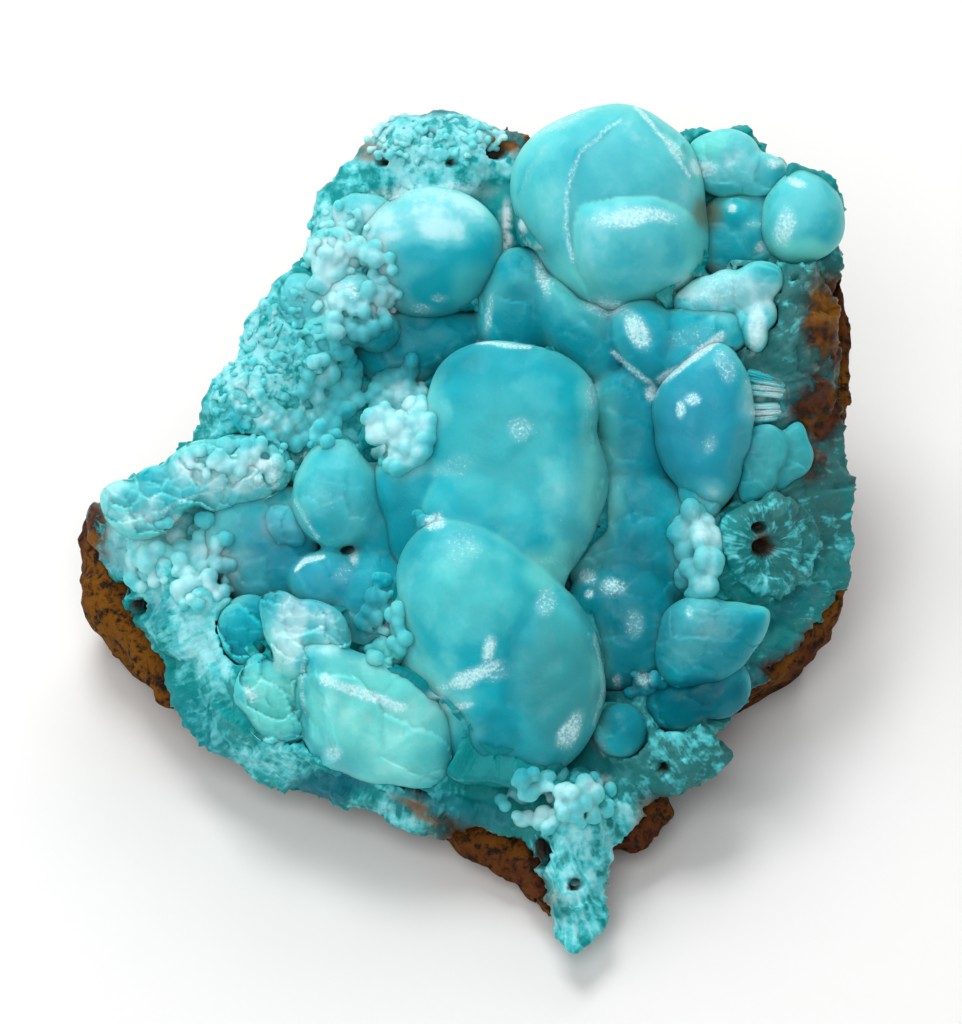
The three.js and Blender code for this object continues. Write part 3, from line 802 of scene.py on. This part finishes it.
def dome(bm, outline, rise, depth, full=2.3, detail=5):
    """Adds a closed rounded mass whose edge follows an outline of the photograph."""
    middle, reach = edge_reach(outline)
    made = bmesh.ops.create_icosphere(bm, subdivisions=detail, radius=1)["verts"]
    ways = np.array([vert.co for vert in made])
    flat = np.hypot(ways[:, 0], ways[:, 1])
    grow = (flat ** full + np.abs(ways[:, 2]) ** full) ** (-1 / full)
    spread = grow * reach(np.arctan2(ways[:, 1], ways[:, 0])) * PIXEL
    shaped = np.stack([ways[:, 0] * spread, ways[:, 1] * spread, ways[:, 2] * grow * depth], 1)
    for vert, spot in zip(made, shaped):
        vert.co = spot
    turn = Matrix.Translation(on_display(middle, rise)) @ PHOTO_TURN.to_4x4()
    bmesh.ops.transform(bm, matrix=turn, verts=made)
    return made


def cut_flat(points, cuts):
    """Flattens points beyond planes, each a pixel, a rise, the way it faces and how ragged it is."""
    for at, rise, facing, ragged in cuts:
        away = np.array((PHOTO_TURN @ Vector(facing)).normalized())
        beyond = (points - np.array(on_display(at, rise))) @ away
        rough = ragged * (waves(points, 1.8, 6) + 0.6 * chips(points, 1.6, 3))
        points = points - np.outer(np.where(beyond > 0, beyond - rough, 0), away)
    return points


def lobe(name, masses, finish, voxel=None, rounds=0, relief=None, cuts=(), ripple=0.12):
    """One piece of crust made of rounded masses, with a relief out of the photograph on top."""
    bm = bmesh.new()
    for mass in masses:
        dome(bm, *mass)
    mesh = to_mesh(bm, name, voxel, rounds)
    points = cut_flat(coords_of(mesh), cuts)
    height = ripple * (2 * waves(points, 6, 1) + waves(points, 2.2, 2))
    if relief:
        height = height + relief(points, Seen(points))
    move_to(mesh, points + np.outer(height, np.array(OUT)))
    wash_masks(mesh)
    crust_piece(mesh, finish)


def crown_lobe(finish):
    """The largest dome. Its skin is broken away right of a step, and a bulge stands on its lower right."""
    def relief(points, seen):
        edge = np.interp(seen.down, *np.array(CROWN_STEP, float).T[::-1])
        edge = edge + 4 * waves(points, 1.6, 7) + 2 * waves(points, 0.6, 8)
        skin = step(edge + 3, edge - 3, seen.across) * step(100, 122, seen.down)
        groove = strokes(seen, [(CROWN_ARC, 3.5, 1)])
        return 0.45 * skin - 0.3 * groove + cap(seen, BULGE, 2.6, 2.6)
    cuts = [((680, 136), 2.2, (0.75, 0.5, 0.45), 0.4)]
    lobe("crown_lobe", [(CROWN, -1.5, 8.2, 2.3, 6)], finish, relief=relief, cuts=cuts, ripple=0.1)


def middle_lobes(finish):
    """The wide heart-shaped mass in the middle and the belly below it, grown into each other. Their right
    edges are frilled, and the front of the belly drops back below a crease."""
    def relief(points, seen):
        frill = np.abs(waves(points, 1.0, 9)) * strokes(seen, [(HEART_EDGE, 6, 1), (BELLY_EDGE, 6, 1)])
        drop = step(704, 722, seen.down + 5 * waves(points, 2, 10)) * step(545, 500, seen.across)
        crease = strokes(seen, [(BELLY_CREASE, 7, 1)])
        lumps = swelling(seen, HEART_LOW, 0.7) + swelling(seen, SHOULDER, 0.9)
        lumps = lumps + swelling(seen, RIGHT_BELLY, 0.5)
        return lumps + 0.6 * frill - 0.6 * drop * step(700, 712, seen.down) - 0.15 * crease
    masses = [(HEART, -0.2, 5.2, 2.6, 6), (BELLY, -0.3, 5.6, 2.6, 6), (BRIDGE, -0.5, 4.5),
              (LEFT_SKIRT, -2.2, 4.6), (LOW_SKIRT, -2.4, 4.6)]
    lobe("middle_lobes", masses, finish, MIDDLE_VOXEL, 34, relief=relief, ripple=0.2)


def round_lobes(finish):
    lobe("left_dome", [(LEFT_DOME, -2.2, 5.0, 2.2, 6)], finish)
    lobe("corner_lobe", [(CORNER_LOBE, -2.3, 4.6)], finish)
    lobe("teardrop_lobe", [(TEARDROP, -1.2, 5.2, 2.2, 6)], finish, ripple=0.2,
         cuts=[((732, 450), 1.6, (0.8, -0.25, 0.55), 0.1), ((690, 488), 1.4, (-0.45, -0.6, 0.65), 0.1)])
    lobe("hollow_lobes", HOLLOW_LOBES, finish, HOLLOW_VOXEL, 24, ripple=0.25,
         relief=lambda points, seen: 0.25 * chips(points, 2.8, 10))


def pale_pieces(finish):
    """Milky lobes, ledges and broken shells around the edge of the hollow."""
    lobe("milky_lobes", MILKY_LOBES, finish, MILKY_VOXEL, 5, ripple=0.16,
         relief=lambda points, seen: 0.3 * chips(points, 3.4, 4) + 0.12 * chips(points, 1.5, 7))
    lobe("pale_shell", [(PALE_SHELL, -1.6, 4.9, 3.0, 6)], finish, ripple=0.25,
         cuts=[((306, 705), -0.5, (-0.8, -0.2, 0.55), 0.3), ((420, 762), 1.4, (0.35, -0.75, 0.55), 0.15)],
         relief=lambda points, seen: 1.1 * chips(points, 9, 8) + 0.1 * chips(points, 2.5, 9))
    lobe("broken_shells", BROKEN_SHELLS, finish, SHELL_VOXEL, ripple=0.2,
         relief=lambda points, seen: 1.9 * chips(points, 3.2, 5) + 0.3 * chips(points, 1.2, 6))


def plates(finish):
    """Thin crystal plates that stand side by side in the right wall."""
    bm = bmesh.new()
    for px, py, rise, along, over, thick, turn, lean in PLATES:
        made = bmesh.ops.create_cube(bm, size=1)["verts"]
        bmesh.ops.scale(bm, vec=(along * PIXEL, over * PIXEL, thick), verts=made)
        tilt = Matrix.Rotation(math.radians(turn), 4, "Z") @ Matrix.Rotation(math.radians(lean), 4, "X")
        stand = Matrix.Translation(on_display((px, py), rise)) @ PHOTO_TURN.to_4x4() @ tilt
        bmesh.ops.transform(bm, matrix=stand, verts=made)
    bmesh.ops.bevel(bm, geom=bm.edges[:], offset=0.18, segments=2, affect="EDGES")
    bmesh.ops.subdivide_edges(bm, edges=bm.edges[:], cuts=3, use_grid_fill=True)
    mesh = to_mesh(bm, "crystal_plates")
    points = coords_of(mesh)
    move_to(mesh, points + normals_of(mesh) * (0.12 * waves(points, 1.2, 12))[:, None])
    wash_masks(mesh)
    crust_piece(mesh, finish)


# The broken edge


def around_hollow(points, seen):
    """How far points lie from the middle of the hollow against the brow there, and their fibre
    coordinates."""
    middle = np.array(HOLLOW_MIDDLE)
    corners = np.array(BROW, float) - middle
    places = np.arctan2(corners[:, 1], corners[:, 0])
    order = np.argsort(places)
    angle = np.arctan2(seen.down - middle[1], seen.across - middle[0])
    reach = np.hypot(seen.down - middle[1], seen.across - middle[0])
    brow = np.interp(angle, places[order], np.hypot(*corners.T)[order], period=2 * math.pi)
    bend = 1.6 * waves(points, 7, 11)
    fibre = np.stack([30 * np.cos(angle) + bend, 30 * np.sin(angle) - bend, 0.16 * reach * PIXEL], 1)
    return reach / brow, fibre


def covering(seen, normals, outer, inner):
    """How far points lie under the lobes, from 0 at their outer share of an outline to 1 at the inner one."""
    shares = np.minimum.reduce([share_of(seen, outline) for outline in COVERED])
    return step(outer, inner, shares) * step(-0.2, 0.2, normals @ np.array(OUT))


def eye_fibres(seen):
    """Fibre coordinates that run out from the middle of the stalactite's broken end."""
    middle, _ = edge_reach(EYE)
    across, down = seen.across - middle[0], seen.down - middle[1]
    angle = np.arctan2(down, across)
    return np.stack([3.4 * np.cos(angle), 3.4 * np.sin(angle), 0.25 * np.hypot(across, down) * PIXEL], 1)


def without(mesh, hidden):
    """Takes the vertices out of a mesh that nothing shows."""
    bm = bmesh.new()
    bm.from_mesh(mesh)
    bmesh.ops.delete(bm, geom=[vert for vert, gone in zip(bm.verts, hidden) if gone], context="VERTS")
    bm.to_mesh(mesh)
    bm.free()


def broken_edge(finish):
    """The crust around and under the lobes: a fibrous broken edge, granular slopes and a smooth hollow."""
    mesh = to_mesh(cad_copy("smithsonite_crust"), "broken_edge", EDGE_VOXEL, 2)
    covered = covering(Seen(coords_of(mesh)), normals_of(mesh), 0.9, 0.8)
    without(mesh, covered > 0.99)
    points = coords_of(mesh)
    normals = normals_of(mesh)
    seen = Seen(points)
    reach, fibre = around_hollow(points, seen)
    sunk = covering(seen, normals, 1.0, 0.9)
    slope = washes(seen, SLOPES)
    fibrous = step(0.9, 1.05, reach) * (1 - slope)
    eye = share_of(seen, EYE)
    strands = waves(fibre, 0.5, 1) + 0.5 * waves(fibre, 0.25, 2)
    lumps = waves(points, 4.5, 3) + 0.5 * waves(points, 2, 4)
    grain = grains(points, 1.25, 5) + 0.6 * grains(points, 2.4, 6)
    broken = chips(points, 4.6, 1) + 0.4 * chips(points, 1.7, 2)
    pits = washes(seen, PITS, 0.3, 0.1)
    rings = 0.9 * step(1.1, 0.95, eye) - 0.8 * strokes(seen, [(EYE + EYE[:1], 7, 1)])
    height = 0.7 * lumps + fibrous * (0.2 * strands + 0.7 * broken) + slope * (0.55 * grain - 0.4)
    height = (height + rings - PIT_DEPTH * pits) * (1 - sunk) - SINK * sunk
    points += normals * height[:, None]
    points[:, 2] = np.maximum(points[:, 2], EDGE_FOOT)
    move_to(mesh, points)
    keep(mesh, "fibre", np.where(eye[:, None] < 1.15, eye_fibres(seen), fibre))
    keep(mesh, "fibrous", np.maximum(fibrous, 1.6 * step(1.2, 1.0, eye)))
    keep(mesh, "grainy", slope)
    for name, places in EDGE_WASHES.items():
        keep(mesh, name, washes(seen, places))
    keep(mesh, "pit", pits)
    # Where white highlights are painted on the edge
    keep(mesh, "painted_highlight", painted_highlights_on(seen))
    crust_piece(mesh, finish)


# Small balls


def surface_tree():
    """The skins built so far, to stand small pieces on."""
    points, faces = [], []
    for coords, polygons in built:
        faces.extend(tuple(corner + len(points) for corner in face) for face in polygons)
        points.extend(coords.tolist())
    return BVHTree.FromPolygons(points, faces)


def seen_at(tree, px, py):
    """The point and the normal of the first skin that a pixel shows."""
    spot = RIGHT * (px - PHOTO_ORIGIN[0]) * PIXEL + UP * (PHOTO_ORIGIN[1] - py) * PIXEL
    return tree.ray_cast(spot + OUT * 200, -OUT)[:2]


def druse(finish):
    """Patches of small fused balls that stand on the lobes and the edge."""
    tree = surface_tree()
    bm = bmesh.new()
    for px, py, half_across, half_down, size, count in DRUSE:
        for _ in range(count):
            away = math.sqrt(random.random())
            turn = random.uniform(0, math.tau)
            spot = (px + half_across * away * math.cos(turn), py + half_down * away * math.sin(turn))
            point, normal = seen_at(tree, *spot)
            if point is None:
                continue
            radius = size * PIXEL * random.uniform(0.55, 1.15)
            stand = Matrix.Translation(point + (normal + OUT) * random.uniform(-0.1, 0.45) * radius)
            stretch = Matrix.Diagonal([radius * random.uniform(0.85, 1.2) for _ in range(3)] + [1])
            bmesh.ops.create_icosphere(bm, subdivisions=2, radius=1, matrix=stand @ stretch)
    mesh = to_mesh(bm, "small_balls", BALL_VOXEL, 1)
    wash_masks(mesh)
    crust_piece(mesh, finish)


# The rock


def limonite(finish):
    """The rock under the crust, broken and crumbly all over but for its flat underside."""
    mesh = to_mesh(cad_copy("limonite_matrix"), "limonite_rock", ROCK_VOXEL, 2)
    points = coords_of(mesh)
    normals = normals_of(mesh)
    seen = Seen(points)
    shown = washes(seen, ROCK_PATCHES)
    lumps = waves(points, 7, 6) + 0.6 * waves(points, 3, 7)
    crumbs = grains(points, 2.2, 8)
    height = 0.6 * lumps + 0.7 * crumbs - 0.4
    points += normals * (height * step(0.3, 2, points[:, 2]))[:, None]
    spread = points[:, :2] - np.array(ROCK_MIDDLE)
    outward = spread / np.linalg.norm(spread, axis=1)[:, None]
    tucked = step(0.35, -0.25, outward[:, 1]) * (1 - shown) * step(6, 12, np.linalg.norm(spread, axis=1))
    swollen = SWELL * washes(seen, OCHRE_PATCHES[:1]) - TUCK * tucked
    points[:, :2] += outward * swollen[:, None]
    points[:, 2] = np.maximum(points[:, 2], 0)
    move_to(mesh, points)
    keep(mesh, "ochre", washes(seen, OCHRE_PATCHES))
    finish_piece(mesh, finish, "limonite_matrix")


# The studio


def floor():
    bm = bmesh.new()
    bmesh.ops.create_grid(bm, x_segments=1, y_segments=1, size=3)
    mesh = to_mesh(bm, "floor")
    material, tree = new_finish("pale_floor")
    close_finish(tree, {"Base Color": (0.8, 0.8, 0.79, 1), "Roughness": 0.6})
    mesh.materials.append(material)
    piece = bpy.data.objects.new("floor", mesh)
    bpy.context.scene.collection.objects.link(piece)


def softbox(name, toward, distance, size, power, colour=(1, 1, 1)):
    """A square light that faces the specimen from a direction across, up and out of the photograph."""
    light = bpy.data.lights.new(name, "AREA")
    light.size = size
    light.energy = power
    light.color = colour
    lamp = bpy.data.objects.new(name, light)
    middle = Vector((0, 0, 0.02))
    away = (PHOTO_TURN @ Vector(toward)).normalized()
    lamp.location = middle + away * distance
    lamp.rotation_euler = away.to_track_quat("Z", "Y").to_euler()
    bpy.context.scene.collection.objects.link(lamp)


def studio():
    floor()
    softbox("top_key", (-0.2, 0.9, 0.5), 0.6, 0.25, 1.7)
    softbox("back", (0.15, 0.95, -0.1), 0.6, 0.4, 1.2)
    softbox("front", (-0.08, 0.12, 1), 0.9, 0.5, 3.4)
    softbox("left", (-1, 0.3, 0.5), 0.6, 0.4, 0.8)
    world = bpy.data.worlds.new("studio")
    world.use_nodes = True
    world.node_tree.nodes["Background"].inputs["Color"].default_value = (1, 1, 1, 1)
    world.node_tree.nodes["Background"].inputs["Strength"].default_value = 0.3
    bpy.context.scene.world = world
    bpy.context.scene.view_settings.view_transform = "Standard"


def camera():
    """A long lens at the photograph's angle, with the photograph's framing."""
    lens = bpy.data.cameras.new("camera")
    lens.lens = 400
    lens.sensor_width = 36
    lens.clip_start = 0.01
    across = PHOTO_SIZE[0] / 2 - PHOTO_ORIGIN[0]
    up = PHOTO_ORIGIN[1] - PHOTO_SIZE[1] / 2
    middle = (RIGHT * across + UP * up) * PIXEL + OUT * 16
    distance = PHOTO_SIZE[1] * PIXEL * lens.lens / lens.sensor_width
    eye = bpy.data.objects.new("camera", lens)
    eye.location = (middle + OUT * distance) * MM
    eye.rotation_euler = PHOTO_TURN.to_euler()
    bpy.context.scene.collection.objects.link(eye)
    bpy.context.scene.camera = eye


camera()
studio()
waxy = waxy_finish("waxy_smithsonite", WAXY_SCATTER)
milky = waxy_finish("milky_smithsonite", MILKY_SCATTER)
limonite(limonite_finish())
broken_edge(fibrous_finish())
crown_lobe(waxy)
middle_lobes(waxy)
round_lobes(waxy)
pale_pieces(milky)
plates(milky)
druse(milky)
